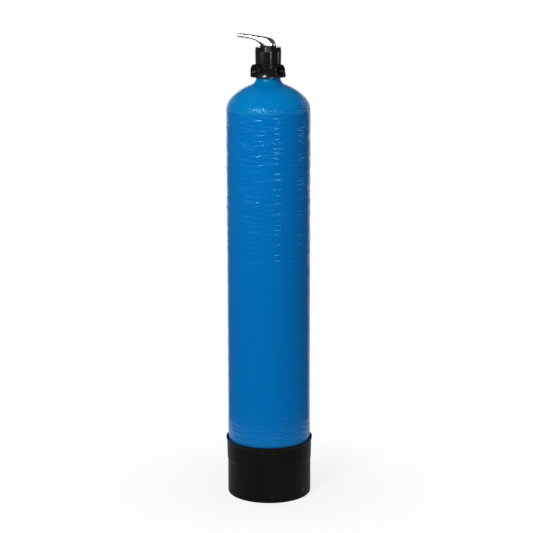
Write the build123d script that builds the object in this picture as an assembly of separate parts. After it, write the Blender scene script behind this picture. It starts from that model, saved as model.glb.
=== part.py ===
from build123d import *
import math
import os

# A free-standing whole-house water filter. A filament-wound pressure tank stands in a moulded
# cup base, and a three-position disc valve with a cast lever is screwed into its neck.
# Millimetres, +Z up, origin on the floor under the middle of the tank, front towards -Y.

# Tank: shell, liner and neck
tank_radius = 154.0
tank_foot_z = 36.0
bottom_dome_rise = 104.0
bottom_knuckle = 78.0
straight_length = 1314.0
top_dome_rise = 103.5
top_knuckle = 66.0
neck_radius = 44.7
neck_root_fillet = 27.0
neck_lip_fillet = 2.0
neck_straight = 3.81
shell_wall = 4.0
liner_wall = 4.0
insert_wall = 4.9
insert_flange_radius = 62.0
neck_thread_radius = 36.6
neck_oring_section = 1.95
neck_oring_gap = 0.02

# Boot
boot_height = 216.0
boot_wall = 3.2
boot_foot_proud = 1.7
boot_waist_proud = 3.4
boot_collar_proud = 4.9
boot_lip_proud = 7.5
boot_step_z = 128.0
boot_waist_z = 138.0
boot_lip_height = 7.0
boot_lip_bend = 6.0
boot_foot_fillet = 6.0
boot_foot_width = 24.0
boot_recess = 6.0
boot_floor = 4.0
boot_hole_radius = 20.0
boot_rib_count = 8
boot_rib_thickness = 4.0
boot_rib_height = 104.0
boot_fit_gap = 0.4

# Riser, distributors and the two beds
riser_radius = 13.35
riser_bore_radius = 10.6
socket_gap = 0.15
basket_radius = 29.0
basket_foot_radius = 26.0
basket_foot_z = 52.0
basket_height = 78.0
basket_wall = 2.6
basket_slot_height = 1.4
basket_slot_count = 7
basket_bar_count = 4
basket_bar_width = 7.0
hub_collar_radius = 18.0
hub_collar_height = 22.0
hub_plate = 4.0
screen_length = 46.0
screen_radius = 28.0
screen_foot_radius = 24.0
screen_slot_count = 5
bed_gap = 0.5
gravel_top_z = 232.0
media_top_z = 1050.0

# Valve body, measured up from the neck's top
skirt_radius = 65.2
skirt_edge = 4.5
skirt_top = 33.0
skirt_sag = 3.0
barrel_foot_radius = 46.9
barrel_top_radius = 48.1
barrel_height = 93.0
nipple_radius = 36.4
nipple_length = 25.0
annulus_inner_radius = 17.0
annulus_outer_radius = 31.0
annulus_height = 5.0
riser_stop_height = 8.0
riser_oring_depth = 8.0
riser_oring_section = 1.0
oring_sides = 8
centre_well_radius = 12.0
centre_well_top = 44.0

# Three side ports with female pipe threads
port_height = 25.8
port_reach = 66.5
port_boss_radius = 23.4
port_boss_foot = 0.5
port_boss_chamfer = 0.8
port_bore_radius = 16.6
port_bore_depth = 20.0
port_passage_radius = 8.0
port_angles = {"inlet": 90.0, "outlet": 225.0, "drain": 315.0}

# Chamber over the disc seat, and the flow windows
seat_height = 52.0
chamber_radius = 33.0
nut_bore_radius = 38.0
sector_angle = 45.0
first_sector_angle = 90.0
tank_sectors = (0, 4)
riser_sectors = (2, 7)
outlet_sector = 3
drain_sectors = (5, 6)
lever_travel = 180.0
window_half_angle = 18.0
window_inner_radius = 15.5
window_outer_radius = 27.0
pocket_floor = 36.0
gallery_inner_radius = 36.0
gallery_outer_radius = 42.0
gallery_half_angle = 22.0
gallery_top = 73.5
gallery_mouth = 65.0

# Discs, driver and spindle
disc_radius = 30.0
disc_gap = 0.1
disc_key_angles = (112.5, 292.5)
disc_key_half_angle = 4.0
disc_key_reach = 2.0
disc_key_height = 6.0
gasket_thickness = 2.5
disc_thickness = 7.0
recess_depth = 4.5
film_gap = 0.05
cut_overlap = 1.0
driver_hub_radius = 14.0
driver_thickness = 7.0
driver_arm_width = 12.0
driver_arm_angles = (0.0, 135.0, 270.0)
driver_lug_length = 4.0
driver_lug_depth = 4.5
driver_lug_gap = 0.1
spindle_radius = 8.0
spindle_gap = 0.05
spindle_groove_depth = 1.6
spindle_groove_width = 2.6
spindle_groove_heights = (82.0, 88.0)
square_side = 12.0
square_length = 20.0
square_gap = 0.08
washer_thickness = 1.5
washer_radius = 13.0

# Retaining nut
nut_flange_radius = 42.0
nut_flange_thickness = 4.0
nut_collar_radius = 13.0
nut_rim_wall = 4.5
nut_floor = 5.0
nut_rib_count = 6
nut_rib_thickness = 3.0
nut_notch_width = 9.0
nut_notch_depth = 4.0
nut_thread_gap = 0.1
nut_oring_section = 1.3
nut_oring_height = 4.0

# Dial cap
cap_height = 14.5
cap_top_radius = 46.3
cap_collar_radius = 29.5
cap_collar_height = 6.0
cap_collar_fillet = 1.6
cap_wall = 2.6
cap_plate = 3.4
cap_edge_fillet = 2.4
cap_hole_radius = 12.4
stop_groove_radius = 19.0
stop_groove_width = 5.0
stop_groove_depth = 2.0
stop_pin_radius = 2.1
stop_pin_angle = 180.0
stop_pad_radius = 4.5
stop_spare_angle = 0.6

# Lever, side view: distances from the axis and heights over the cap's collar
lever_gap = 0.5
lever_wall = 3.0
lever_boss_radius = 11.5
lever_boss_drop = 5.0
lever_web_width = 9.0
hub_radius = 28.5
hub_hollow_height = 8.0
lever_reach = 111.6
lever_stations = (
    # distance and height of the crown line, distance and height of the heel line, width
    (-28.4, 5.0, 31.5, 4.0, 57.0),
    (-25.5, 13.0, 36.5, 9.0, 55.0),
    (-18.3, 21.3, 41.5, 12.8, 51.0),
    (-8.0, 26.7, 46.0, 15.4, 45.0),
    (6.0, 30.1, 50.5, 17.7, 38.0),
    (24.0, 32.5, 55.0, 19.4, 31.5),
    (40.0, 35.2, 60.0, 21.2, 26.0),
    (58.0, 37.3, 69.0, 22.6, 22.5),
    (78.0, 40.3, 82.0, 24.7, 20.5),
    (98.0, 42.7, 100.0, 26.8, 19.5),
    (104.5, 43.2, 105.5, 27.5, 19.5),
)
tip_angles = (30.0, 55.0, 72.0, 84.0)
tip_squareness = 0.5
grub_radius = 2.5
grub_length = 7.0
grub_gap = 0.05
grub_socket_radius = 1.4
grub_height = 6.0

# Heights and radii that follow from the sizes above
dome_base_z = tank_foot_z + bottom_dome_rise
shoulder_z = dome_base_z + straight_length
top_reach = tank_radius - top_knuckle
top_crown = (top_dome_rise**2 + top_reach**2 - top_knuckle**2) / 2 / (top_dome_rise - top_knuckle)
neck_root_z = (
    shoulder_z
    + top_dome_rise
    - top_crown
    + math.sqrt((top_crown + neck_root_fillet) ** 2 - (neck_radius + neck_root_fillet) ** 2)
)
neck_top_z = neck_root_z + neck_straight
insert_outer_radius = neck_thread_radius + insert_wall
liner_radius = tank_radius - shell_wall
fixed_disc_z = seat_height + gasket_thickness
moving_disc_z = fixed_disc_z + disc_thickness + film_gap
driver_z = moving_disc_z + disc_thickness
washer_z = driver_z + driver_thickness + film_gap
nut_z = washer_z + washer_thickness
nut_top = barrel_height + nut_flange_thickness
cap_top = barrel_height + cap_height
collar_top = cap_top + cap_collar_height
lever_z = collar_top + lever_gap
spindle_top = lever_z - lever_boss_drop
basket_top_z = basket_foot_z + basket_height
riser_foot_z = basket_top_z + hub_plate
port_bore_foot = port_reach - port_bore_depth


def turned(*edges):
    """A solid of revolution about the axis, from the edges of its half section."""
    return revolve(Plane.XZ * make_face(edges), Axis.Z)


def closed_lines(*points):
    """The straight edges through the given points and back to the first."""
    return Polyline(*points, close=True).edges()


def ring(outer, inner, low, high):
    """A plain ring about the axis."""
    return turned(*closed_lines((inner, low), (outer, low), (outer, high), (inner, high)))


def disc(radius, low, high):
    """A plain round of full section about the axis."""
    return Pos(0, 0, low) * Cylinder(radius, high - low, align=(Align.CENTER, Align.CENTER, Align.MIN))


def oring(inner, section, height):
    """A seal squeezed to a flattened section, whose inner side has the given radius."""
    flat = RegularPolygon(section, oring_sides, major_radius=False, rotation=180 / oring_sides)
    return revolve(Plane.XZ * Pos(inner + section, height) * flat, Axis.Z)


def sector(inner, outer, angle, half_angle, low, high):
    """A piece of a ring, from one angle to another about the axis."""
    first = math.radians(angle - half_angle)
    last = math.radians(angle + half_angle)
    corner = [
        (inner * math.cos(first), inner * math.sin(first)),
        (outer * math.cos(first), outer * math.sin(first)),
        (inner * math.cos(last), inner * math.sin(last)),
        (outer * math.cos(last), outer * math.sin(last)),
    ]
    outline = make_face(
        [
            Line(corner[0], corner[1]),
            CenterArc((0, 0), outer, angle - half_angle, 2 * half_angle),
            Line(corner[3], corner[2]),
            CenterArc((0, 0), inner, angle - half_angle, 2 * half_angle),
        ]
    )
    return Pos(0, 0, low) * extrude(outline, high - low)


def ray(angle, radius, start, end, height):
    """A horizontal round bar pointing away from the axis."""
    bar = Cylinder(radius, end - start, align=(Align.CENTER, Align.CENTER, Align.MIN))
    return Pos(0, 0, height) * Rot(0, 0, angle) * Pos(start, 0, 0) * Rot(0, 90, 0) * bar


def sector_centre(index):
    """The direction of one of the eight sectors of the disc seat."""
    return first_sector_angle + sector_angle * index


def dome_arcs(rise, knuckle):
    """Crown radius of a dome whose knuckle and crown arcs meet in line, and the angle there."""
    reach = tank_radius - knuckle
    crown = (rise**2 + reach**2 - knuckle**2) / (2 * (rise - knuckle))
    return crown, math.degrees(math.atan2(crown - rise, reach))


def tank_form(inset, throat_radius, top_z, root_fillet=0.0, lip_fillet=0.0):
    """The tank's closed outer form, or its hollow when inset, with the neck's stem."""
    low_crown, low_turn = dome_arcs(bottom_dome_rise, bottom_knuckle)
    high_crown, high_turn = dome_arcs(top_dome_rise, top_knuckle)
    half_width = tank_radius - inset
    low_centre = (0, tank_foot_z + low_crown)
    high_centre = (0, shoulder_z + top_dome_rise - high_crown)
    crown_radius = high_crown - inset
    throat_angle = math.degrees(math.acos(throat_radius / crown_radius))
    throat_z = high_centre[1] + crown_radius * math.sin(math.radians(throat_angle))
    edges = [
        CenterArc(low_centre, low_crown - inset, 270, 90 - low_turn),
        CenterArc(
            (tank_radius - bottom_knuckle, dome_base_z),
            bottom_knuckle - inset,
            360 - low_turn,
            low_turn,
        ),
        Line((half_width, dome_base_z), (half_width, shoulder_z)),
        CenterArc((tank_radius - top_knuckle, shoulder_z), top_knuckle - inset, 0, high_turn),
        CenterArc(high_centre, crown_radius, high_turn, throat_angle - high_turn),
        Line((throat_radius, throat_z), (throat_radius, top_z)),
        Line((throat_radius, top_z), (0, top_z)),
        Line((0, top_z), (0, tank_foot_z + inset)),
    ]
    outline = make_face(edges)
    if root_fillet:
        root = outline.vertices().sort_by_distance((throat_radius, throat_z))[0]
        outline = fillet(root, root_fillet)
    if lip_fillet:
        lip = outline.vertices().sort_by_distance((throat_radius, top_z))[0]
        outline = fillet(lip, lip_fillet)
    return revolve(Plane.XZ * outline, Axis.Z)


def make_tank():
    """Wound shell, moulded liner and the threaded insert in the neck."""
    outer = tank_form(0, neck_radius, neck_top_z, neck_root_fillet, neck_lip_fillet)
    hollow = tank_form(shell_wall, insert_outer_radius, neck_top_z)
    shell = outer - hollow
    room = tank_form(shell_wall + liner_wall, neck_thread_radius, neck_top_z)
    lining = hollow - room
    middle = disc(insert_flange_radius, shoulder_z, neck_top_z)
    liner = lining - middle
    seal_room = disc(
        nipple_radius + 2 * neck_oring_section + 2 * film_gap,
        neck_top_z - 2 * neck_oring_section,
        neck_top_z,
    )
    insert = (lining & middle) - seal_room
    neck_seal = oring(
        nipple_radius + film_gap,
        neck_oring_section - neck_oring_gap,
        neck_top_z - neck_oring_section,
    )
    return {
        "tank_shell": shell,
        "tank_liner": liner,
        "neck_insert": insert,
        "neck_oring": neck_seal,
    }


def make_boot():
    """Moulded cup with a foot ring, a flared lip, and ribs that the bottom dome sits on."""
    foot = tank_radius + boot_foot_proud
    waist = tank_radius + boot_waist_proud
    collar = tank_radius + boot_collar_proud
    lip = tank_radius + boot_lip_proud
    bend_z = boot_height - boot_lip_height - boot_lip_bend
    outline = make_face(
        closed_lines(
            (boot_hole_radius, boot_recess),
            (foot - boot_foot_width - boot_recess, boot_recess),
            (foot - boot_foot_width, 0),
            (foot, 0),
            (foot, boot_step_z),
            (waist, boot_waist_z),
            (collar, bend_z),
            (lip, boot_height - boot_lip_height),
            (lip, boot_height),
            (lip - boot_wall, boot_height),
            (tank_radius + boot_fit_gap, bend_z - boot_lip_bend),
            (tank_radius + boot_fit_gap, boot_waist_z),
            (foot - boot_wall, boot_step_z - boot_lip_bend),
            (foot - boot_wall, boot_floor),
            (foot - boot_foot_width + boot_floor, boot_floor),
            (foot - boot_foot_width - boot_recess + boot_floor, boot_recess + boot_floor),
            (boot_hole_radius, boot_recess + boot_floor),
        )
    )
    heel = outline.vertices().sort_by_distance((foot, 0))[0]
    outline = fillet(heel, boot_foot_fillet)
    cup = revolve(Plane.XZ * outline, Axis.Z)
    rib_start = boot_hole_radius + boot_foot_width / 2
    rib_length = foot - boot_wall / 2 - rib_start
    rib = Pos(rib_start, 0, boot_floor + boot_recess / 2) * Box(
        rib_length,
        boot_rib_thickness,
        boot_rib_height - boot_floor,
        align=(Align.MIN, Align.CENTER, Align.MIN),
    )
    keep = disc(foot - boot_wall / 2, 0, boot_height)
    for index in range(boot_rib_count):
        cup += Rot(0, 0, (index + 0.5) * 360 / boot_rib_count) * rib & keep
    cup -= tank_form(0, neck_radius, neck_top_z)
    return {"boot": cup}


def slotted(cup, low_radius, high_radius, wall, low, high, slots, bars):
    """A tapered cup with rows of slots round it, and upright bars left between them."""
    pitch = (high - low) / slots
    cutter = ring(high_radius + wall, low_radius - 2 * wall, 0, basket_slot_height)
    for index in range(bars):
        cutter -= Rot(0, 0, index * 360 / bars) * Pos(high_radius, 0, 0) * Box(
            2 * high_radius, basket_bar_width, 4 * basket_slot_height
        )
    for index in range(slots):
        cup -= Pos(0, 0, low + (index + 0.5) * pitch) * cutter
    return cup


def make_riser():
    """Riser pipe, its foot socket and the slotted basket below, and the screen at the top."""
    riser = ring(
        riser_radius, riser_bore_radius, riser_foot_z, neck_top_z + riser_stop_height - socket_gap
    )
    basket = turned(
        *closed_lines(
            (0, basket_foot_z),
            (basket_foot_radius, basket_foot_z),
            (basket_radius, basket_top_z),
            (basket_radius - basket_wall, basket_top_z),
            (basket_foot_radius - basket_wall, basket_foot_z + basket_wall),
            (0, basket_foot_z + basket_wall),
        )
    )
    basket = slotted(
        basket,
        basket_foot_radius,
        basket_radius,
        basket_wall,
        basket_foot_z + 2 * basket_wall,
        basket_top_z - 2 * hub_plate,
        basket_slot_count,
        basket_bar_count,
    )
    spigot = basket_radius - 1.5 * basket_wall
    hub = turned(
        *closed_lines(
            (riser_bore_radius, basket_top_z - hub_plate),
            (spigot, basket_top_z - hub_plate),
            (spigot, basket_top_z),
            (basket_radius, basket_top_z),
            (basket_radius, riser_foot_z),
            (hub_collar_radius, riser_foot_z),
            (hub_collar_radius, riser_foot_z + hub_collar_height),
            (riser_radius + socket_gap, riser_foot_z + hub_collar_height),
            (riser_radius + socket_gap, riser_foot_z),
            (riser_bore_radius, riser_foot_z),
        )
    )
    nipple_end = -nipple_length
    screen_foot = nipple_end - screen_length
    collar = annulus_outer_radius - socket_gap
    screen = turned(
        *closed_lines(
            (riser_radius + socket_gap, screen_foot),
            (screen_foot_radius, screen_foot),
            (screen_radius, nipple_end - hub_plate),
            (nipple_radius - basket_wall, nipple_end - hub_plate),
            (nipple_radius - basket_wall, nipple_end),
            (collar, nipple_end),
            (collar, nipple_end + 2 * hub_plate),
            (collar - basket_wall, nipple_end + 2 * hub_plate),
            (screen_radius - basket_wall, nipple_end - hub_plate),
            (screen_foot_radius - basket_wall, screen_foot + basket_wall),
            (riser_radius + socket_gap, screen_foot + basket_wall),
        )
    )
    screen = slotted(
        screen,
        screen_foot_radius,
        screen_radius,
        basket_wall,
        screen_foot + 2 * basket_wall,
        nipple_end - 2 * hub_plate,
        screen_slot_count,
        basket_bar_count,
    )
    return {
        "riser_tube": riser,
        "distributor_basket": basket,
        "distributor_hub": hub,
        "top_distributor": Pos(0, 0, neck_top_z) * screen,
    }


def make_beds():
    """Gravel round the bottom basket, and the filter medium over it."""
    room = tank_form(shell_wall + liner_wall + bed_gap, neck_thread_radius, neck_top_z)
    core = turned(
        *closed_lines(
            (0, basket_foot_z - bed_gap),
            (basket_foot_radius + bed_gap, basket_foot_z - bed_gap),
            (basket_radius + bed_gap, basket_top_z),
            (basket_radius + bed_gap, riser_foot_z + bed_gap),
            (hub_collar_radius + bed_gap, riser_foot_z + bed_gap),
            (hub_collar_radius + bed_gap, riser_foot_z + hub_collar_height + bed_gap),
            (riser_radius + bed_gap, riser_foot_z + hub_collar_height + bed_gap),
            (riser_radius + bed_gap, media_top_z + bed_gap),
            (0, media_top_z + bed_gap),
        )
    )
    gravel = room & disc(tank_radius, tank_foot_z, gravel_top_z)
    media = room & disc(tank_radius, gravel_top_z, media_top_z)
    return {"gravel_bed": gravel - core, "filter_media": media - core}


def port_boss(angle):
    """A boss, round above and square below, that reaches from the axis to one port's face."""
    drop = port_height - port_boss_foot
    outline = Circle(port_boss_radius) + Pos(drop / 2, 0) * Rectangle(drop, 2 * port_boss_radius)
    boss = extrude(outline, port_reach)
    boss = chamfer(boss.faces().sort_by(Axis.Z)[-1].edges(), port_boss_chamfer)
    return Pos(0, 0, port_height) * Rot(0, 0, angle) * Rot(0, 90, 0) * boss


def make_valve_body():
    """Moulded body: skirt, barrel, three port bosses, neck tube and the water ways inside."""
    skirt_foot = (skirt_radius, skirt_edge)
    skirt_head = (barrel_foot_radius, skirt_top)
    body = turned(
        Line((0, 0), (skirt_radius, 0)),
        Line((skirt_radius, 0), skirt_foot),
        SagittaArc(skirt_foot, skirt_head, -skirt_sag),
        Line(skirt_head, (barrel_top_radius, barrel_height)),
        Line((barrel_top_radius, barrel_height), (0, barrel_height)),
        Line((0, barrel_height), (0, 0)),
    )
    body += disc(nipple_radius, -nipple_length, skirt_edge)
    for angle in port_angles.values():
        body += port_boss(angle)

    body -= disc(disc_radius + disc_gap, seat_height, moving_disc_z)
    body -= disc(chamber_radius, moving_disc_z - film_gap, nut_z)
    body -= disc(nut_bore_radius, nut_z, barrel_height)
    body -= ring(annulus_outer_radius, annulus_inner_radius, -nipple_length, annulus_height)
    body -= disc(riser_radius + socket_gap, -nipple_length, riser_stop_height)
    body -= disc(centre_well_radius, riser_stop_height, centre_well_top)
    body -= ring(
        riser_radius + 2 * riser_oring_section + film_gap,
        riser_radius,
        -riser_oring_depth - riser_oring_section - film_gap,
        -riser_oring_depth + riser_oring_section + film_gap,
    )

    def shaft(inner, angle, half_angle, low, high=seat_height):
        return sector(inner, window_outer_radius, angle, half_angle, low, high)

    for index in tank_sectors:
        body -= shaft(annulus_inner_radius, sector_centre(index), window_half_angle, 0)
    for index in riser_sectors:
        body -= shaft(
            centre_well_radius - cut_overlap,
            sector_centre(index),
            window_half_angle,
            pocket_floor,
        )
    passage_floor = port_height - port_passage_radius
    outlet_angle = sector_centre(outlet_sector)
    body -= shaft(window_inner_radius, outlet_angle, window_half_angle, passage_floor)
    drain_angle = sum(sector_centre(index) for index in drain_sectors) / len(drain_sectors)
    drain_half = window_half_angle + sector_angle / 2
    body -= shaft(window_inner_radius, drain_angle, drain_half, passage_floor)

    inlet_angle = port_angles["inlet"]
    body -= sector(
        gallery_inner_radius,
        gallery_outer_radius,
        inlet_angle,
        gallery_half_angle,
        passage_floor,
        gallery_top,
    )
    body -= sector(
        chamber_radius - cut_overlap,
        gallery_inner_radius + cut_overlap,
        inlet_angle,
        gallery_half_angle,
        gallery_mouth,
        gallery_top,
    )
    passage_ends = {
        "inlet": (gallery_inner_radius + gallery_outer_radius) / 2,
        "outlet": (window_inner_radius + window_outer_radius) / 2,
        "drain": (window_inner_radius + window_outer_radius) / 2,
    }
    for name, angle in port_angles.items():
        body -= ray(angle, port_bore_radius, port_bore_foot, port_reach, port_height)
        body -= ray(
            angle,
            port_passage_radius,
            passage_ends[name],
            port_bore_foot + cut_overlap,
            port_height,
        )
    for angle in disc_key_angles:
        body += sector(
            disc_radius - disc_key_reach,
            disc_radius + 2 * disc_gap,
            angle,
            disc_key_half_angle,
            seat_height,
            seat_height + disc_key_height,
        )
    return {
        "valve_body": Pos(0, 0, neck_top_z) * body,
        "riser_oring": Pos(0, 0, neck_top_z)
        * oring(riser_radius + film_gap / 2, riser_oring_section, -riser_oring_depth),
    }


def windowed(plate, low, high):
    """A round plate with the seat's seven windows and the two key notches cut in it."""
    notch_half = disc_key_half_angle + math.degrees(disc_gap / disc_radius)
    for index in tank_sectors + riser_sectors + (outlet_sector,) + drain_sectors:
        plate -= sector(
            window_inner_radius,
            window_outer_radius,
            sector_centre(index),
            window_half_angle,
            low,
            high,
        )
    for angle in disc_key_angles:
        plate -= sector(
            disc_radius - disc_key_reach - disc_gap,
            disc_radius + cut_overlap,
            angle,
            notch_half,
            low,
            high,
        )
    return plate


def driver_lug(angle, reach, side_gap, low, high):
    """One lug of the driver, or with gaps its pocket in the disc's rim."""
    lug = Box(
        reach - disc_radius + driver_lug_length,
        driver_arm_width + 2 * side_gap,
        high - low,
        align=(Align.MAX, Align.CENTER, Align.MIN),
    )
    return Rot(0, 0, angle) * Pos(reach, 0, low) * lug


def make_discs():
    """Rubber gasket, ceramic seat disc, and the disc that turns on it."""
    gasket = windowed(
        disc(disc_radius, seat_height, fixed_disc_z), seat_height, fixed_disc_z
    )
    fixed_top = fixed_disc_z + disc_thickness
    fixed = windowed(disc(disc_radius, fixed_disc_z, fixed_top), fixed_disc_z, fixed_top)
    moving = disc(disc_radius, moving_disc_z, driver_z)
    moving -= sector(
        window_inner_radius,
        window_outer_radius,
        sector_centre(0),
        window_half_angle,
        moving_disc_z,
        driver_z,
    )
    recess_angle = (sector_centre(riser_sectors[0]) + sector_centre(outlet_sector)) / 2
    moving -= sector(
        window_inner_radius,
        window_outer_radius,
        recess_angle,
        window_half_angle + sector_angle / 2,
        moving_disc_z,
        moving_disc_z + recess_depth,
    )
    for angle in driver_arm_angles:
        moving -= driver_lug(
            angle,
            disc_radius + driver_lug_gap,
            driver_lug_gap,
            driver_z - driver_lug_depth - driver_lug_gap,
            driver_z,
        )
    return {
        "disc_gasket": Pos(0, 0, neck_top_z) * gasket,
        "fixed_disc": Pos(0, 0, neck_top_z) * fixed,
        "moving_disc": Pos(0, 0, neck_top_z) * moving,
    }


def make_stem():
    """Three-armed driver with its spindle, grooved for two seals and squared at the top."""
    driver_top = driver_z + driver_thickness
    stem = disc(driver_hub_radius, driver_z, driver_top)
    for angle in driver_arm_angles:
        arm = Box(
            disc_radius,
            driver_arm_width,
            driver_thickness,
            align=(Align.MIN, Align.CENTER, Align.MIN),
        )
        stem += Rot(0, 0, angle) * Pos(0, 0, driver_z) * arm & disc(
            disc_radius, driver_z, driver_top
        )
        stem += driver_lug(
            angle, disc_radius - driver_lug_gap, 0, driver_z - driver_lug_depth, driver_z
        ) & disc(disc_radius, driver_z - driver_lug_depth, driver_z)
    stem += disc(spindle_radius, driver_top, spindle_top)
    square = Box(
        square_side, square_side, square_length, align=(Align.CENTER, Align.CENTER, Align.MIN)
    )
    stem += Pos(0, 0, spindle_top) * square
    groove_radius = spindle_radius - spindle_groove_depth
    seal_section = (spindle_groove_depth + spindle_gap) / 2 - film_gap / 2
    seals = []
    for height in spindle_groove_heights:
        stem -= ring(
            spindle_radius + cut_overlap,
            groove_radius,
            height - spindle_groove_width / 2,
            height + spindle_groove_width / 2,
        )
        seals.append(Pos(0, 0, neck_top_z) * oring(groove_radius, seal_section, height))
    washer = ring(washer_radius, spindle_radius + spindle_gap, washer_z, nut_z)
    return {
        "stem": Pos(0, 0, neck_top_z) * stem,
        "stem_orings": Compound(children=seals),
        "friction_washer": Pos(0, 0, neck_top_z) * washer,
    }


def make_nut():
    """Ribbed nut that closes the chamber, with spanner notches round its flange."""
    body_radius = nut_bore_radius - nut_thread_gap
    pocket_radius = body_radius - nut_rim_wall
    nut = disc(body_radius, nut_z, barrel_height)
    nut += disc(nut_flange_radius, barrel_height, nut_top)
    pocket = ring(pocket_radius, nut_collar_radius, nut_z + nut_floor, nut_top)
    for index in range(nut_rib_count):
        turn = Rot(0, 0, index * 360 / nut_rib_count)
        pocket -= turn * Pos(0, 0, nut_z) * Box(
            nut_bore_radius,
            nut_rib_thickness,
            nut_top - nut_z,
            align=(Align.MIN, Align.CENTER, Align.MIN),
        )
        nut -= turn * Pos(nut_flange_radius, 0, barrel_height) * Box(
            2 * nut_notch_depth,
            nut_notch_width,
            nut_flange_thickness,
            align=(Align.CENTER, Align.CENTER, Align.MIN),
        )
    nut -= pocket
    nut -= disc(spindle_radius + spindle_gap, nut_z, nut_top)
    seal_height = nut_z + nut_oring_height
    seal_inner = nut_bore_radius - 2 * nut_oring_section
    nut -= ring(
        nut_bore_radius,
        seal_inner - film_gap,
        seal_height - nut_oring_section - film_gap,
        seal_height + nut_oring_section + film_gap,
    )
    seal = oring(seal_inner - film_gap / 2, nut_oring_section, seal_height)
    return {
        "retaining_nut": Pos(0, 0, neck_top_z) * nut,
        "nut_oring": Pos(0, 0, neck_top_z) * seal,
    }


def make_cap():
    """Round cover of the barrel; its raised collar has the groove that limits the lever's turn."""
    outline = make_face(
        closed_lines(
            (cap_hole_radius, collar_top - cap_plate),
            (cap_collar_radius - cap_plate, collar_top - cap_plate),
            (cap_collar_radius - cap_plate, cap_top - cap_plate),
            (cap_top_radius - cap_wall, cap_top - cap_plate),
            (barrel_top_radius - cap_wall, barrel_height),
            (barrel_top_radius, barrel_height),
            (cap_top_radius, cap_top),
            (cap_collar_radius, cap_top),
            (cap_collar_radius, collar_top),
            (cap_hole_radius, collar_top),
        )
    )
    rim = outline.vertices().sort_by_distance((cap_top_radius, cap_top))[0]
    outline = fillet(rim, cap_edge_fillet)
    shoulder = outline.vertices().sort_by_distance((cap_collar_radius, collar_top))[0]
    outline = fillet(shoulder, cap_collar_fillet)
    cap = revolve(Plane.XZ * outline, Axis.Z)
    path = CenterArc(
        (0, 0),
        stop_groove_radius,
        stop_pin_angle - stop_spare_angle,
        lever_travel + 2 * stop_spare_angle,
    )
    groove = extrude(SlotArc(path, stop_groove_width), stop_groove_depth)
    cap -= Pos(0, 0, collar_top - stop_groove_depth) * groove
    return {"dial_cap": Pos(0, 0, neck_top_z) * cap}


def lever_section(crown_reach, crown_height, heel_reach, heel_height, width, share=1.0):
    """The lever's oval section between its crown and heel lines, or a share of that size."""
    crown = Vector(-crown_reach, 0, crown_height)
    heel = Vector(-heel_reach, 0, heel_height)
    rise = crown - heel
    across = Vector(0, 1, 0)
    plane = Plane(origin=(crown + heel) / 2, x_dir=across, z_dir=across.cross(rise))
    return plane * Ellipse(width / 2 * share, rise.length / 2 * share)


def make_lever():
    """Cast lever: its round foot rises and leans over into an oval arm; hollow below."""
    sections = [lever_section(-hub_radius, 0, hub_radius, 0, 2 * hub_radius)]
    sections += [lever_section(*station) for station in lever_stations]
    crown_reach, crown_height, heel_reach, heel_height, width = lever_stations[-1]
    tip_length = lever_reach - (crown_reach + heel_reach) / 2
    for angle in tip_angles:
        ahead = tip_length * math.sin(math.radians(angle))
        sections.append(
            lever_section(
                crown_reach + ahead,
                crown_height,
                heel_reach + ahead,
                heel_height,
                width,
                math.cos(math.radians(angle)) ** tip_squareness,
            )
        )
    lever = loft(sections)

    roof = hub_hollow_height
    hollow = ring(hub_radius - lever_wall, lever_boss_radius, 0, roof)
    hollow -= Box(
        lever_web_width, hub_radius, roof, align=(Align.CENTER, Align.MIN, Align.MIN)
    )
    pin_place = Rot(0, 0, stop_pin_angle) * Pos(stop_groove_radius, 0, 0)
    hollow -= pin_place * disc(stop_pad_radius, 0, roof)
    lever -= hollow
    lever += disc(lever_boss_radius, -lever_boss_drop, 0)
    lever += pin_place * disc(stop_pin_radius, -lever_gap - stop_groove_depth + socket_gap, 0)
    socket_side = square_side + 2 * square_gap
    lever -= Pos(0, 0, -lever_boss_drop) * Box(
        socket_side,
        socket_side,
        square_length + 2 * square_gap,
        align=(Align.CENTER, Align.CENTER, Align.MIN),
    )
    lever -= ray(90, grub_radius + grub_gap, 0, 2 * hub_radius, grub_height)
    grub = ray(90, grub_radius, square_side / 2, square_side / 2 + grub_length, grub_height)
    key = extrude(RegularPolygon(grub_socket_radius, 6), grub_length / 2)
    grub -= (
        Pos(0, square_side / 2 + grub_length, grub_height) * Rot(90, 0, 0) * key
    )
    place = Pos(0, 0, neck_top_z + lever_z)
    return {"lever_handle": place * lever, "grub_screw": place * grub}


makers = (
    make_boot,
    make_tank,
    make_riser,
    make_beds,
    make_valve_body,
    make_discs,
    make_stem,
    make_nut,
    make_cap,
    make_lever,
)
os.makedirs("parts", exist_ok=True)
for make in makers:
    for node, solid in make().items():
        export_step(solid, f"parts/{node}.step")
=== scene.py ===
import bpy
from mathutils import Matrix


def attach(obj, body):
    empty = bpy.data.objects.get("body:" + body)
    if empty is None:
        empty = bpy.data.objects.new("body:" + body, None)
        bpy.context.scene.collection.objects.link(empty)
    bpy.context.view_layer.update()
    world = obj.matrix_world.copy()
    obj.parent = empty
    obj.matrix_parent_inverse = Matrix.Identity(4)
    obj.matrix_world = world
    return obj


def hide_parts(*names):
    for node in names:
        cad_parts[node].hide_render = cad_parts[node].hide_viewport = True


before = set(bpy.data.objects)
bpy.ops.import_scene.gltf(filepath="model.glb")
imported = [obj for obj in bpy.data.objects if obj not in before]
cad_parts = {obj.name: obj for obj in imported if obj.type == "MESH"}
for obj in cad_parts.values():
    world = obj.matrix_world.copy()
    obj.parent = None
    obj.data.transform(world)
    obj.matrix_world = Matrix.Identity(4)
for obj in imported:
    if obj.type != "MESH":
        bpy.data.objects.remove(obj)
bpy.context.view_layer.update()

import math
import bpy
from mathutils import Matrix, Vector, noise

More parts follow.
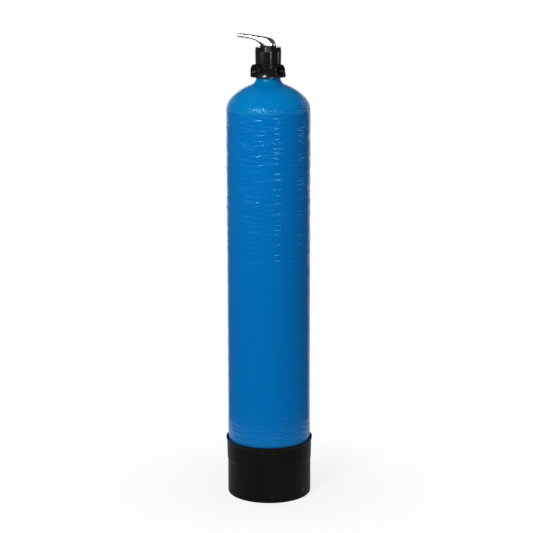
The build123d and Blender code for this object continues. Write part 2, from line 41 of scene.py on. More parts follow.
# The view of the photograph. The camera stands 6.5 m in front of the filter at 2.3 m height and
# looks slightly down; the picture was cut out a little below the lens axis, which gives the shift.
picture_width = 533.0
sensor = 36.0
focal_pixels = 1801.8
axis_row = 227.26
camera_distance = 6.533
camera_height = 2.300
camera_side = -0.0080
camera_pitch = 0.1939
camera_roll = -0.0027
camera_turn = math.radians(3.4)

lens = bpy.data.cameras.new("photo_camera")
lens.lens = focal_pixels / picture_width * sensor
lens.sensor_width = sensor
lens.shift_y = (axis_row - picture_width / 2) / picture_width
camera = bpy.data.objects.new("photo_camera", lens)
place = Matrix.Rotation(camera_turn, 4, "Z") @ Matrix.Translation(
    (camera_side, -camera_distance, camera_height)
)
aim = Matrix.Rotation(math.pi / 2 - camera_pitch, 4, "X") @ Matrix.Rotation(camera_roll, 4, "Z")
camera.matrix_world = place @ aim
bpy.context.scene.collection.objects.link(camera)
bpy.context.scene.camera = camera
bpy.context.scene.view_settings.view_transform = "Standard"


# Boot: a cup of black polyethylene, moulded in one piece. Its skin is satin, with a fine grain
# from the mould, faint upright drag marks and a small pale scuff at the foot.
class Wire:
    """A value, vector or colour inside a node tree, so that sums on it are written as sums."""

    def __init__(self, nodes, socket):
        self.nodes = nodes
        self.socket = socket

    def __add__(self, other):
        return self.nodes.math("ADD", self, other)

    def __radd__(self, other):
        return self.nodes.math("ADD", other, self)

    def __sub__(self, other):
        return self.nodes.math("SUBTRACT", self, other)

    def __rsub__(self, other):
        return self.nodes.math("SUBTRACT", other, self)

    def __mul__(self, other):
        return self.nodes.math("MULTIPLY", self, other)

    def __rmul__(self, other):
        return self.nodes.math("MULTIPLY", other, self)

    def __truediv__(self, other):
        return self.nodes.math("DIVIDE", self, other)

    def __rtruediv__(self, other):
        return self.nodes.math("DIVIDE", other, self)

    def __pow__(self, other):
        return self.nodes.math("POWER", self, other)


class Nodes:
    """A node tree, with every node built by one method from the values that its sockets get."""

    def __init__(self, tree):
        self.tree = tree

    def node(self, kind, settings, sockets, out=0):
        """Any node: its settings first, then the values or links of its sockets."""
        node = self.tree.nodes.new("ShaderNode" + kind)
        for name, value in settings.items():
            setattr(node, name, value)
        for socket, value in sockets.items():
            if isinstance(value, Wire):
                self.tree.links.new(value.socket, node.inputs[socket])
            else:
                node.inputs[socket].default_value = value
        return Wire(self, node.outputs[out])

    def math(self, operation, first, second=0.0):
        """One sum on one or two values."""
        return self.node("Math", {"operation": operation}, {0: first, 1: second})

    def place(self):
        """The point in the filter's own frame, in metres."""
        return self.node("TexCoord", {}, {}, "Object")

    def parts(self, vector):
        """The three numbers of a vector."""
        split = self.node("SeparateXYZ", {}, {0: vector}).socket.node
        return [Wire(self, out) for out in split.outputs]

    def stretch(self, vector, scales):
        """A vector with each of its numbers scaled."""
        return self.node("VectorMath", {"operation": "MULTIPLY"}, {0: vector, 1: scales})

    def noise(self, vector, scale, detail, roughness=0.5):
        """A cloudy value from 0 to 1."""
        return self.node(
            "TexNoise",
            {},
            {"Vector": vector, "Scale": scale, "Detail": detail, "Roughness": roughness},
        )

    def distance(self, vector, target):
        """The distance from a fixed point."""
        return self.node(
            "VectorMath", {"operation": "DISTANCE"}, {0: vector, 1: target}, "Value"
        )

    def length(self, vector):
        """The length of a vector."""
        return self.node("VectorMath", {"operation": "LENGTH"}, {0: vector}, "Value")

    def brightness(self, colour):
        """The grey value of a colour."""
        return self.node("RGBToBW", {}, {0: colour})

    def between(self, value, low, high, new_low=0.0, new_high=1.0):
        """A value's range stretched to another and held inside it, with soft ends."""
        return self.node(
            "MapRange",
            {"interpolation_type": "SMOOTHSTEP"},
            {"Value": value, 1: low, 2: high, 3: new_low, 4: new_high},
        )

    def blend(self, share, first, second):
        """A colour between two, by a share from 0 to 1."""
        return self.node(
            "Mix", {"data_type": "RGBA"}, {"Factor": share, 6: first, 7: second}, 2
        )

    def bump(self, height, depth, normal=None):
        """Relief from a height of 0 to 1 that stands for a depth in metres."""
        sockets = {"Height": height, "Distance": depth, "Strength": 1.0}
        if normal is not None:
            sockets["Normal"] = normal
        return self.node("Bump", {}, sockets)


class Finish(Nodes):
    """A material whose principled shader takes constants first and wires later."""

    def __init__(self, name, **constants):
        self.material = bpy.data.materials.new(name)
        self.material.use_nodes = True
        super().__init__(self.material.node_tree)
        self.shader = self.tree.nodes["Principled BSDF"]
        for socket, value in constants.items():
            self.shader.inputs[socket.replace("_", " ")].default_value = value

    def surface(self):
        """The finish's own shader, to be mixed with another."""
        return Wire(self, self.shader.outputs[0])

    def feed(self, **wires):
        """Links wires to the shader's sockets."""
        for socket, wire in wires.items():
            self.tree.links.new(wire.socket, self.shader.inputs[socket.replace("_", " ")])


def dress(finish, *nodes):
    """Gives CAD nodes a finish."""
    for name in nodes:
        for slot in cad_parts[name].material_slots:
            slot.material = finish.material


scuff_place = (0.134, -0.088, 0.031)
scuff_core, scuff_rim = 0.002, 0.011

boot_black = Finish("boot_black", Specular_IOR_Level=0.06)
point = boot_black.place()
grain = boot_black.noise(point, 850.0, 2.0)
drag = boot_black.noise(boot_black.stretch(point, (55.0, 55.0, 3.0)), 1.0, 3.0)
dust = boot_black.noise(point, 9.0, 4.0, 0.6)
scuff_round = boot_black.between(boot_black.distance(point, scuff_place), scuff_rim, scuff_core)
scuff = scuff_round * boot_black.between(boot_black.noise(point, 260.0, 3.0), 0.42, 0.6)
tone = boot_black.blend(
    boot_black.between(dust, 0.35, 0.75), (0.0030, 0.0033, 0.0026, 1), (0.0060, 0.0065, 0.0050, 1)
)
boot_black.feed(
    Base_Color=boot_black.blend(scuff * 0.5, tone, (0.30, 0.29, 0.26, 1)),
    Roughness=0.34 + drag * 0.16 + scuff * 0.2,
    Normal=boot_black.bump(grain * 0.6 + drag * 0.4, 0.0002),
)
dress(boot_black, "boot")

# Tank liner and neck insert: blow-moulded and injection-moulded natural polyethylene. The insert
# is moulded in as the liner is blown, and both are hidden inside the wound shell.
liner_white = Finish("liner_white", Subsurface_Weight=0.15, Subsurface_Radius=(0.004, 0.004, 0.004))
point = liner_white.place()
cloud = liner_white.noise(point, 14.0, 4.0)
skin = liner_white.noise(point, 420.0, 2.0)
liner_white.feed(
    Base_Color=liner_white.blend(cloud, (0.66, 0.66, 0.62, 1), (0.76, 0.76, 0.72, 1)),
    Roughness=0.38 + cloud * 0.12,
    Normal=liner_white.bump(skin, 0.0001),
)
dress(liner_white, "tank_liner", "neck_insert")

# Seals: rings and a gasket moulded in black rubber, pressed into their grooves by the pieces that
# they seal. Silicone grease leaves them with a dull skin.
seal_rubber = Finish("seal_rubber", Specular_IOR_Level=0.4)
point = seal_rubber.place()
grease = seal_rubber.noise(point, 120.0, 3.0)
seal_rubber.feed(
    Base_Color=seal_rubber.blend(grease, (0.012, 0.012, 0.012, 1), (0.022, 0.022, 0.024, 1)),
    Roughness=0.3 + grease * 0.3,
    Normal=seal_rubber.bump(seal_rubber.noise(point, 1500.0, 2.0), 0.00004),
)
dress(seal_rubber, "neck_oring", "riser_oring", "disc_gasket", "stem_orings", "nut_oring")

# Riser: an extruded white PVC pipe with faint draw lines along it. It is cut to length and stands
# in the hub's socket, with its top end in the valve body.
pipe_white = Finish("pipe_white")
point = pipe_white.place()
drawn = pipe_white.noise(pipe_white.stretch(point, (900.0, 900.0, 4.0)), 1.0, 2.0)
pipe_white.feed(
    Base_Color=pipe_white.blend(drawn, (0.70, 0.70, 0.68, 1), (0.78, 0.78, 0.76, 1)),
    Roughness=0.3 + drawn * 0.15,
    Normal=pipe_white.bump(drawn, 0.00006),
)
dress(pipe_white, "riser_tube")

# Distributors: slotted baskets and their hub, moulded in black polypropylene. One basket hangs
# under the valve, the other sits at the foot of the riser, in the gravel.
distributor_black = Finish("distributor_black", Specular_IOR_Level=0.4)
point = distributor_black.place()
flow = distributor_black.noise(point, 90.0, 3.0)
distributor_black.feed(
    Base_Color=distributor_black.blend(flow, (0.022, 0.022, 0.022, 1), (0.038, 0.038, 0.04, 1)),
    Roughness=0.35 + flow * 0.2,
    Normal=distributor_black.bump(distributor_black.noise(point, 1100.0, 2.0), 0.00008),
)
dress(distributor_black, "top_distributor", "distributor_hub", "distributor_basket")

# Beds: loose gravel of 3 to 6 mm over the bottom basket, and granular carbon above it. Both are
# poured in through the neck before the valve goes on.
stones_per_metre = 210.0
grains_per_metre = 620.0

gravel = Finish("gravel", Roughness=0.8)
point = gravel.place()
stone = gravel.node("TexVoronoi", {}, {"Vector": point, "Scale": stones_per_metre}, 0)
stone_tone = gravel.node("TexVoronoi", {}, {"Vector": point, "Scale": stones_per_metre}, 1)
gravel.feed(
    Base_Color=gravel.blend(
        gravel.brightness(stone_tone), (0.20, 0.16, 0.12, 1), (0.52, 0.48, 0.42, 1)
    ),
    Normal=gravel.bump(1 - stone, 0.002),
)
dress(gravel, "gravel_bed")

carbon = Finish("carbon", Specular_IOR_Level=0.3)
point = carbon.place()
grain = carbon.node("TexVoronoi", {}, {"Vector": point, "Scale": grains_per_metre}, 0)
carbon.feed(
    Base_Color=carbon.blend(grain, (0.012, 0.012, 0.013, 1), (0.03, 0.03, 0.032, 1)),
    Roughness=0.5 + grain * 0.4,
    Normal=carbon.bump(1 - grain, 0.0008),
)
dress(carbon, "filter_media")

# Tank shell: glass rovings wound wet over the liner, in helical layers that cover the domes and
# hoop layers on the wall, under a gloss blue gel coat. The bands show through as low relief.
tank_radius = 0.154
tank_foot = 0.036
wall_foot = 0.140
shoulder = 1.454
neck_top = 1.576
neck_radius = 0.0447
throat_radius = 0.0415
shell_wall = 0.004
low_rise, low_knuckle = 0.104, 0.078
high_rise, high_knuckle = 0.1035, 0.066
root_fillet = 0.027
lip_fillet = 0.002
columns = 96
wall_step = 0.00135
turn_rise = 0.111
strand_offsets = {
    1: (0.004, 0.021, 0.043, 0.058, 0.079, 0.095),
    -1: (0.011, 0.030, 0.049, 0.071, 0.084, 0.104),
}
lap_depth = 0.00100
lap_flank = 0.0026
lap_wander = 0.004
lap_faintest = 0.05
lap_patch = (-0.14, 0.10)
lap_low_share = 0.35
lap_growth = (0.75, 1.15)
hoop_end = 1.4555
hoop_end_tilt = 0.0045
hoop_end_length = 0.003
hoop_thickness = 0.0006
swell_depth = 0.0004
boot_lip_z = 0.216
relief_start = 0.02
dome_relief_end = (neck_top - 0.045, neck_top - 0.015)
low_dome_step, low_knuckle_step = 0.012, 0.008
high_dome_step, lip_step = 0.0025, 0.0008
inner_crown_step, inner_knuckle_step = 0.016, 0.012
pole_gap = 0.02


def arc(middle, radius, start, end, step):
    """Points and outward normals along an arc of a half section, from one angle to another."""
    count = max(2, round(abs(end - start) * abs(radius) / step))
    angles = [start + (end - start) * index / count for index in range(count + 1)]
    side = math.copysign(1.0, radius)
    return [
        (
            middle[0] + abs(radius) * math.cos(angle),
            middle[1] + abs(radius) * math.sin(angle),
            side * math.cos(angle),
            side * math.sin(angle),
        )
        for angle in angles
    ]


def crown_of(rise, knuckle):
    """Radius of the dome's crown arc and the angle at which the knuckle arc meets it."""
    reach = tank_radius - knuckle
    crown = (rise**2 + reach**2 - knuckle**2) / 2 / (rise - knuckle)
    return crown, math.atan2(crown - rise, reach)


def wall(radius, low, high, count):
    """Points up a straight wall, with the outward normal."""
    return [(radius, low + (high - low) * i / count, 1.0, 0.0) for i in range(count + 1)]


low_crown, low_turn = crown_of(low_rise, low_knuckle)
high_crown, high_turn = crown_of(high_rise, high_knuckle)
low_middle = (0.0, tank_foot + low_crown)
low_bend = (tank_radius - low_knuckle, wall_foot)
high_middle = (0.0, shoulder + high_rise - high_crown)
high_bend = (tank_radius - high_knuckle, shoulder)
lip_middle = (neck_radius - lip_fillet, neck_top - lip_fillet)
root_reach = neck_radius + root_fillet
root_drop = math.sqrt((high_crown + root_fillet) ** 2 - root_reach**2)
root_turn = math.atan2(root_drop, root_reach)
root_middle = (root_reach, high_middle[1] + root_drop)
wall_rows = round((shoulder - boot_lip_z) / wall_step)
outside = (
    arc(low_middle, low_crown, pole_gap - math.pi / 2, -low_turn, low_dome_step)
    + arc(low_bend, low_knuckle, -low_turn, 0.0, low_knuckle_step)[1:]
    + wall(tank_radius, boot_lip_z, shoulder, wall_rows)
    + arc(high_bend, high_knuckle, 0.0, high_turn, high_dome_step)[1:]
    + arc(high_middle, high_crown, high_turn, root_turn, high_dome_step)[1:]
    + arc(root_middle, -root_fillet, root_turn + math.pi, math.pi, high_dome_step)[1:]
    + arc(lip_middle, lip_fillet, 0.0, math.pi / 2, lip_step)
)
throat_turn = math.acos(throat_radius / (high_crown - shell_wall))
inside = (
    arc(high_middle, high_crown - shell_wall, throat_turn, high_turn, inner_crown_step)
    + arc(high_bend, high_knuckle - shell_wall, high_turn, 0.0, inner_knuckle_step)[1:]
    + arc(low_bend, low_knuckle - shell_wall, 0.0, -low_turn, inner_knuckle_step)
    + arc(low_middle, low_crown - shell_wall, -low_turn, pole_gap - math.pi / 2, inner_crown_step)[1:]
)


def ease(value, low, high):
    """A soft step from 0 to 1 between two values."""
    share = min(1.0, max(0.0, (value - low) / (high - low)))
    return share * share * (3 - 2 * share)


def winding(angle, height):
    """How far the winding stands out of the plain form.

    On the wall each strand of the hoop layer laps over the last one, in a saw profile that fades
    in and out along the strand and towards the foot. Above the hoop layer's end the shell is
    thinner, and everything ends in the plain collar under the neck's lip.
    """
    side = Vector((math.cos(angle), math.sin(angle), 0.0))
    relief = 0.0
    for sign, offsets in strand_offsets.items():
        drift = noise.noise(Vector((side.x * 1.3, side.y * 1.3, height * 7.0 + 5 * sign)))
        phase = height + lap_wander * drift - sign * turn_rise * angle / math.tau
        for number, offset in enumerate(offsets):
            above = (phase - offset) % turn_rise
            saw = max(1 - above / lap_flank, (above - lap_flank) / (turn_rise - lap_flank))
            spot = Vector((side.x * 2.2 + number * 3.7, side.y * 2.2 + sign * 9.1, height * 11.0))
            strength = lap_faintest + (1 - lap_faintest) * ease(noise.noise(spot), *lap_patch)
            relief += lap_depth * strength * (saw - 0.5)
    relief *= lap_low_share + (1 - lap_low_share) * ease(height, *lap_growth)
    above_boot = ease(height, boot_lip_z, boot_lip_z + relief_start)
    end = hoop_end + hoop_end_tilt * math.cos(angle + 2.0)
    on_wall = above_boot * (1 - ease(height, end, end + hoop_end_length))
    below_neck = 1 - ease(height, *dome_relief_end)
    swell = swell_depth * noise.noise(Vector((side.x * 3.0, side.y * 3.0, height * 14.0)))
    return relief * on_wall + (swell * above_boot - hoop_thickness * (1 - on_wall)) * below_neck


def surface(name, rings):
    """A closed mesh through rings of points, each ring joined to the next."""
    mesh = bpy.data.meshes.new(name)
    around = len(rings[0])
    points = [point for ring in rings for point in ring]
    faces = []
    for row in range(len(rings) - 1):
        for column in range(around):
            following = (column + 1) % around
            low = row * around
            high = low + around
            faces.append((low + column, low + following, high + following, high + column))
    faces.append(tuple(reversed(range(around))))
    faces.append(tuple(range(len(points) - around, len(points))))
    mesh.from_pydata(points, [], faces)
    mesh.validate()
    mesh.polygons.foreach_set("use_smooth", [True] * len(mesh.polygons))
    piece = bpy.data.objects.new(name, mesh)
    bpy.context.scene.collection.objects.link(piece)
    return piece


def turned_ring(radius, height):
    """A level ring of points round the filter's axis."""
    turns = [math.tau * column / columns for column in range(columns)]
    return [(radius * math.cos(turn), radius * math.sin(turn), height) for turn in turns]


rings = []
for radius, height, out_r, out_z in outside:
    ring = []
    for column in range(columns):
        angle = math.tau * column / columns
        lift = winding(angle, height)
        reach = radius + out_r * lift
        ring.append((reach * math.cos(angle), reach * math.sin(angle), height + out_z * lift))
    rings.append(ring)
rings.append(turned_ring(throat_radius, neck_top))
rings += [turned_ring(radius, height) for radius, height, out_r, out_z in inside]
tank = surface("tank_winding", rings)
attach(tank, "vessel")
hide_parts("tank_shell")

helix_rate = 1.97
helix_rovings = 118

tank_blue = Finish(
    "tank_blue", IOR=1.42, Specular_IOR_Level=0.40, Specular_Tint=(0.35, 0.80, 1.0, 1.0)
)
point = tank_blue.place()
across, depth_axis, height = tank_blue.parts(point)
angle = tank_blue.math("ARCTAN2", across, depth_axis * -1)
plan_radius = (across * across + depth_axis * depth_axis) ** 0.5
lay = tank_blue.math("ARCCOSINE", neck_radius / plan_radius) - height * helix_rate
drift = tank_blue.noise(point, 16.0, 2.0) * 0.10
crossing = tank_blue.math("SINE", (angle + lay + drift) * helix_rovings) + tank_blue.math(
    "SINE", (angle - lay - drift) * helix_rovings
)
on_dome = tank_blue.between(height, shoulder - 0.006, shoulder + 0.004)
to_neck = tank_blue.between(height, shoulder + 0.060, shoulder + 0.028, 0.14, 1.0)
patch = tank_blue.between(tank_blue.noise(point, 22.0, 2.0), 0.35, 0.65, 0.4, 1.0)
fine = tank_blue.noise(tank_blue.stretch(point, (22.0, 22.0, 330.0)), 1.0, 2.0)
fibre = tank_blue.noise(tank_blue.stretch(point, (60.0, 60.0, 1500.0)), 1.0, 1.0)
hoop_height = fine * 0.15 + fibre * 0.02
dome_height = crossing * to_neck * patch * 0.27 + fine * 0.03
relief = tank_blue.bump(hoop_height * (1 - on_dome) + dome_height * on_dome, 0.0010)
cloud = tank_blue.noise(point, 7.0, 4.0, 0.6)
# Painted light: the dome gets a lighter, greener blue than the wall, for the light that falls on its
# upward-facing curve. The cloudy change between the two tones on each part is the coat's own.
tank_blue.feed(
    Base_Color=tank_blue.blend(
        cloud * 0.7 + fine * 0.3,
        tank_blue.blend(on_dome, (0.0, 0.146, 0.440, 1), (0.0, 0.172, 0.440, 1)),
        tank_blue.blend(on_dome, (0.0, 0.124, 0.402, 1), (0.0, 0.146, 0.402, 1)),
    ),
    Roughness=0.09 + cloud * 0.06,
    Normal=relief,
)
tank.data.materials.append(tank_blue.material)

# Valve body, nut and dial cap: glass-filled black plastic, injection moulded. It is glossy on the
# barrel and duller on the skirt, with slightly round edges, and screws into the tank's neck.
skirt_top = neck_top + 0.035
skirt_blend = 0.004
edge_round = 0.0009

valve_black = Finish("valve_black", Specular_IOR_Level=0.5)
point = valve_black.place()
rounded = valve_black.node("Bevel", {"samples": 6}, {"Radius": edge_round})
grain = valve_black.noise(point, 1300.0, 2.0)
flow = valve_black.noise(valve_black.stretch(point, (40.0, 40.0, 9.0)), 1.0, 3.0)
height = valve_black.parts(point)[2]
on_skirt = valve_black.between(height, skirt_top, skirt_top - skirt_blend)
valve_black.feed(
    Base_Color=valve_black.blend(flow, (0.0035, 0.004, 0.004, 1), (0.006, 0.0065, 0.0065, 1)),
    Roughness=0.04 + flow * 0.07 + on_skirt * 0.12,
    Normal=valve_black.bump(grain, 0.00002, rounded),
)
dress(valve_black, "valve_body", "dial_cap", "retaining_nut")

# Port threads: female pipe threads in the three ports, each a ridge wound along the bore. They are
# moulded in one with the valve body, and their crests run out at both ends.
port_angles = {"inlet": 90.0, "outlet": 225.0, "drain": 315.0}
port_centre = neck_top + 0.0258
port_reach = 0.0665
bore_radius = 0.0166
thread_root = 0.0003
thread_pitch = 0.0023
thread_depth = 0.0013
thread_turns = 7.5
thread_steps = 40
thread_start = 0.0012
half_foot, half_crest = 0.48 * thread_pitch, 0.08 * thread_pitch

for name, degrees in port_angles.items():
    way = Matrix.Rotation(math.radians(degrees), 4, "Z")
    centre = Vector((0, 0, port_centre))
    rings = []
    for step in range(round(thread_turns * thread_steps) + 1):
        turn = math.tau * step / thread_steps
        depth = thread_start + thread_pitch * (1 + step / thread_steps)
        crest = thread_depth * min(1.0, step / thread_steps, thread_turns - step / thread_steps)
        section = (
            (depth + half_foot, bore_radius + thread_root),
            (depth + half_crest, bore_radius - crest),
            (depth - half_crest, bore_radius - crest),
            (depth - half_foot, bore_radius + thread_root),
        )
        rings.append(
            [
                way @ Vector((port_reach - along, radius * math.cos(turn), radius * math.sin(turn)))
                + centre
                for along, radius in section
            ]
        )
    thread = surface(f"{name}_thread", rings)
    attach(thread, "vessel")
    thread.data.materials.append(valve_black.material)

# Ceramic discs, driver and spindle, washer and grub screw. The discs are fired and lapped, the
# driver and the washer are moulded nylon, and the screw is turned steel.
ceramic = Finish("ceramic", Coat_Weight=0.2)
point = ceramic.place()
body_tone = ceramic.noise(point, 60.0, 3.0)
ceramic.feed(
    Base_Color=ceramic.blend(body_tone, (0.74, 0.73, 0.68, 1), (0.82, 0.81, 0.78, 1)),
    Roughness=0.12 + body_tone * 0.1,
)
dress(ceramic, "fixed_disc", "moving_disc")

nylon_white = Finish("nylon_white")
point = nylon_white.place()
flow = nylon_white.noise(point, 70.0, 3.0)
nylon_white.feed(
    Base_Color=nylon_white.blend(flow, (0.60, 0.59, 0.54, 1), (0.70, 0.69, 0.64, 1)),
    Roughness=0.35 + flow * 0.15,
    Normal=nylon_white.bump(nylon_white.noise(point, 1200.0, 2.0), 0.00005),
)
dress(nylon_white, "stem", "friction_washer")

screw_steel = Finish("screw_steel", Metallic=1.0)
point = screw_steel.place()
turned_marks = screw_steel.noise(screw_steel.stretch(point, (200.0, 2600.0, 200.0)), 1.0, 2.0)
screw_steel.feed(
    Base_Color=screw_steel.blend(turned_marks, (0.42, 0.42, 0.43, 1), (0.55, 0.55, 0.56, 1)),
    Roughness=0.25 + turned_marks * 0.2,
    Normal=screw_steel.bump(turned_marks, 0.00004),
)
dress(screw_steel, "grub_screw")

# Lever: a zinc casting, polished and chromed. Its round foot rises and leans over into a long
# arm with a flat front. It sits on the spindle's square and is held by the grub screw.
lever_z = neck_top + 0.114
lever_reach = 0.1116
lever_points = 64
lever_steps = 6
tip_steps = 9
foot_radius = 0.0285
foot_wall = 0.0085
hollow_height = 0.008
boss_radius = 0.0115
boss_drop = 0.005
socket_half = 0.00608
socket_depth = 0.02016
web_half = 0.0045
grub_hole = 0.00255
grub_height = 0.006
hole_sides = 24
edge_radius = 0.0030
front_draft = 0.10
lever_stations = (
    # distance and height of the crown line, distance and height of the heel line, width
    (-0.0285, 0.0000, 0.0285, 0.0000, 0.0570),
    (-0.0276, 0.0080, 0.0335, 0.0060, 0.0575),
    (-0.0225, 0.0170, 0.0390, 0.0108, 0.0570),
    (-0.0120, 0.0247, 0.0440, 0.0144, 0.0550),
    (0.0050, 0.0296, 0.0500, 0.0175, 0.0480),
    (0.0300, 0.0336, 0.0580, 0.0204, 0.0380),
    (0.0560, 0.0371, 0.0700, 0.0228, 0.0310),
    (0.0800, 0.0404, 0.0850, 0.0250, 0.0265),
    (0.1045, 0.0432, 0.1055, 0.0275, 0.0225),
)
section_square = 2.4
square_height = 0.020
hub_flank = (0.0265, -0.182, -0.0115)
tip_flank = (0.0132, -0.070, 0.0600)
middle_height = 0.0123
middle_slope = 0.203
tip_flatness = 0.4
tip_lean = math.radians(86)
sharp_angle = math.radians(40)


def flow_through(stations, steps):
    """Stations with others set between them on smooth curves, in each of their numbers."""
    smooth = []
    for index in range(len(stations) - 1):
        first, last = stations[index], stations[index + 1]
        before = stations[max(0, index - 1)]
        after = stations[min(len(stations) - 1, index + 2)]
        for step in range(steps):
            t = step / steps
            smooth.append(
                [
                    b
                    + 0.5 * t * (c - a)
                    + t * t * (a - 2.5 * b + 2 * c - 0.5 * d)
                    + t**3 * 0.5 * (3 * b - 3 * c + d - a)
                    for a, b, c, d in zip(before, first, last, after)
                ]
            )
    return smooth + [list(stations[-1])]


def soft_least(first, second):
    """The lesser of two lengths, with the edge between them rounded."""
    return 0.5 * (first + second - math.hypot(first - second, edge_radius))


def flank(reach):
    """Half the lever's width between its flat flanks: a fast taper, then a slow one."""
    near_hub, near_tip = (
        half + slope * (reach - start) for half, slope, start in (hub_flank, tip_flank)
    )
    return -soft_least(-near_hub, -near_tip)


def lever_ring(crown_reach, crown_z, heel_reach, heel_z, width, share=1.0):
    """One ring of the lever's skin: round between its crown and heel lines, with flat flanks."""
    crown = Vector((-crown_reach, 0.0, crown_z))
    heel = Vector((-heel_reach, 0.0, heel_z))
    square = 2 + (section_square - 2) * min(1.0, crown_z / square_height)
    ring = []
    for i in range(lever_points):
        turn = math.tau * i / lever_points
        across, along = (
            math.copysign(abs(part) ** (2 / square), part) * share
            for part in (math.cos(turn), math.sin(turn))
        )
        point = (crown + heel) / 2 + (crown - heel) / 2 * along
        above_middle = point.z - middle_height + middle_slope * point.x
        limit = flank(-point.x) - front_draft * above_middle
        limit *= share + (1 - share) * tip_flatness
        half = soft_least(width / 2 * abs(across), limit)
        point.y = math.copysign(max(0.0, half), across)
        point.z += lever_z
        ring.append(point)
    return ring


def foot_ring(radius, height):
    """A level ring under the lever, in step with the rings of its skin."""
    turns = [math.tau * i / lever_points for i in range(lever_points)]
    return [(radius * math.sin(t), radius * math.cos(t), lever_z + height) for t in turns]


def socket_ring(height):
    """A square ring of the lever's socket."""
    ring = foot_ring(socket_half, height)
    centre_z = lever_z + height
    grown = [socket_half / max(abs(x), abs(y)) for x, y, z in ring]
    return [(x * grow, y * grow, centre_z) for (x, y, z), grow in zip(ring, grown)]


def bar(name, corners, reaches):
    """A straight solid from front to back under the lever, to be joined to it or cut from it."""
    return surface(
        name,
        [[(across, reach, lever_z + height) for across, height in corners] for reach in reaches],
    )


def combine(piece, tool, operation):
    """Joins a tool solid to a piece, or cuts it out, and removes the tool."""
    change = piece.modifiers.new("change", "BOOLEAN")
    change.operation = operation
    change.solver = "EXACT"
    change.object = tool
    ready = piece.evaluated_get(bpy.context.evaluated_depsgraph_get())
    piece.data = bpy.data.meshes.new_from_object(ready)
    piece.modifiers.clear()
    bpy.data.objects.remove(tool)


rings = [
    socket_ring(socket_depth - boss_drop),
    socket_ring(-boss_drop),
    foot_ring(boss_radius, -boss_drop),
    foot_ring(boss_radius, hollow_height),
    foot_ring(foot_radius - foot_wall, hollow_height),
    foot_ring(foot_radius - foot_wall, 0.0),
]
skin = flow_through(lever_stations, lever_steps)
rings += [lever_ring(*station) for station in skin]
crown_reach, crown_z, heel_reach, heel_z, *rest = lever_stations[-1]
tip_length = lever_reach - (crown_reach + heel_reach) / 2
for step in range(1, tip_steps + 1):
    lean = tip_lean * step / tip_steps
    ahead = tip_length * math.sin(lean)
    share = math.cos(lean) ** 0.5
    rings.append(lever_ring(crown_reach + ahead, crown_z, heel_reach + ahead, heel_z, *rest, share))
lever = surface("lever", rings)
web_top = hollow_height + 0.001
web_corners = ((-web_half, 0.0), (web_half, 0.0), (web_half, web_top), (-web_half, web_top))
web = bar("web", web_corners, (foot_radius - foot_wall / 2, boss_radius - 0.002))
combine(lever, web, "UNION")
hole_turns = [math.tau * i / hole_sides for i in range(hole_sides)]
hole_corners = [
    (grub_hole * math.cos(turn), grub_height + grub_hole * math.sin(turn)) for turn in hole_turns
]
combine(lever, bar("hole", hole_corners, (2 * foot_radius, 0.0)), "DIFFERENCE")
lever.data.set_sharp_from_angle(angle=sharp_angle)
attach(lever, "selector")
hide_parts("lever_handle")

lever_chrome = Finish("lever_chrome", Metallic=1.0)
point = lever_chrome.place()
haze = lever_chrome.noise(point, 55.0, 3.0)
ripple = lever_chrome.noise(point, 38.0, 1.0)
lever_chrome.feed(
    Base_Color=lever_chrome.blend(haze, (0.80, 0.80, 0.79, 1), (0.88, 0.88, 0.87, 1)),
    Roughness=0.05 + haze * 0.05,
    Normal=lever_chrome.bump(ripple, 0.00002),
)
lever.data.materials.clear()
lever.data.materials.append(lever_chrome.material)

# Floor: a round of pale paper that keeps the filter's shadow. It turns to plain white further
# out, as the backdrop does.
floor_radius = 0.95
shadow_fade = (0.18, 0.90)
shadow_loss = (0.78, 1.0)
floor_rim = turned_ring(floor_radius, 0.0)
floor_mesh = bpy.data.meshes.new("floor")
floor_mesh.from_pydata(floor_rim, [], [tuple(range(len(floor_rim)))])
floor = bpy.data.objects.new("floor", floor_mesh)
bpy.context.scene.collection.objects.link(floor)

floor_white = Finish("floor_white", Roughness=0.9)
point = floor_white.place()
away = floor_white.length(point)
fibre = floor_white.noise(point, 300.0, 3.0)
floor_white.feed(
    Base_Color=floor_white.blend(fibre, (0.86, 0.86, 0.86, 1), (0.90, 0.90, 0.90, 1))
)
seen = floor_white.node("LightPath", {}, {}, "Is Camera Ray")
glow = floor_white.node("Emission", {}, {"Color": (1, 1, 1, 1), "Strength": 1.0})
output = floor_white.tree.nodes["Material Output"]
plain = seen * floor_white.between(away, *shadow_fade, *shadow_loss)
shown = floor_white.node("MixShader", {}, {0: plain, 1: floor_white.surface(), 2: glow})
floor_white.tree.links.new(shown.socket, output.inputs["Surface"])
floor_mesh.materials.append(floor_white.material)

# World: white to the camera, and a dim studio room to the filter, with a white backdrop behind.
# Matt surfaces get more light from above and from the left, and glossy ones mirror a darker room.
matt_level, matt_sky, matt_side = 0.24, 0.50, 0.12
mirror_level, mirror_sky, mirror_backdrop = 0.10, 0.045, 0.85

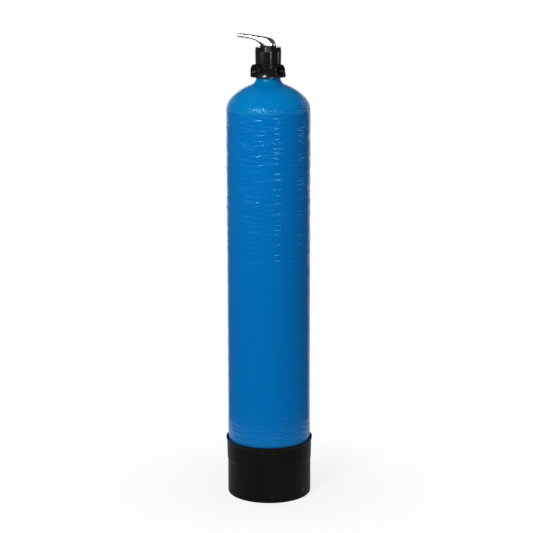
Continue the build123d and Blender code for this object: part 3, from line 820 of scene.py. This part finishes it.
world = bpy.data.worlds.new("studio")
bpy.context.scene.world = world
world.use_nodes = True
room = Nodes(world.node_tree)
direction = room.node("TexCoord", {}, {}, "Generated")
side, back, up = room.parts(direction)
behind = room.between(back, 0.72, 0.95) * room.between(up, 0.35, 0.12)
glossy = room.node("LightPath", {}, {}, "Is Glossy Ray")
camera_ray = room.node("LightPath", {}, {}, "Is Camera Ray")
overhead = room.between(up, -0.1, 1.0)
fill = matt_level + matt_sky * overhead - matt_side * side
reflected = mirror_level - mirror_sky * overhead + mirror_backdrop * behind
room_level = fill * (1 - glossy) + glossy * reflected
level = room_level * (1 - camera_ray) + camera_ray
room.tree.links.new(level.socket, room.tree.nodes["Background"].inputs["Strength"])
room.tree.nodes["Background"].inputs["Color"].default_value = (1, 1, 1, 1)


# Lamps: softboxes round the front and right. Their angles are seen from the valve, with 0 degrees
# straight in front of it and positive angles to its right in the picture.
lamp_distance = 3.0
valve_height = 1.62


def softbox(name, left, right, low, high, radiance, colour):
    """A softbox that fills a range of directions, at a brightness where 1 is white."""
    middle = math.radians((left + right) / 2)
    out = Vector((math.sin(middle), -math.cos(middle), 0.0))
    bottom = valve_height + lamp_distance * math.tan(math.radians(low))
    top = valve_height + lamp_distance * math.tan(math.radians(high))
    light = bpy.data.lights.new(name, "AREA")
    light.shape = "RECTANGLE"
    light.size = 2 * lamp_distance * math.tan(math.radians(right - left) / 2)
    light.size_y = top - bottom
    light.energy = radiance * math.pi * light.size * light.size_y
    light.color = colour
    lamp = bpy.data.objects.new(name, light)
    lamp.location = out * lamp_distance + Vector((0, 0, (top + bottom) / 2))
    lamp.rotation_euler = out.to_track_quat("Z", "Y").to_euler()
    bpy.context.scene.collection.objects.link(lamp)


softbox("key", -30.0, -13.0, 10.5, 29.0, 25.0, (1.0, 0.98, 0.94))
softbox("strip_right", 19.0, 33.0, -7.0, 8.0, 7.8, (0.82, 0.95, 1.0))
softbox("fill_left", -76.0, -28.0, -7.0, 4.0, 1.2, (1.0, 0.95, 0.88))
softbox("front", -28.0, 19.0, 2.0, 15.0, 1.3, (1.0, 1.0, 1.0))
softbox("rim_right", 93.0, 112.0, -7.0, 3.0, 1.5, (1.0, 1.0, 1.0))
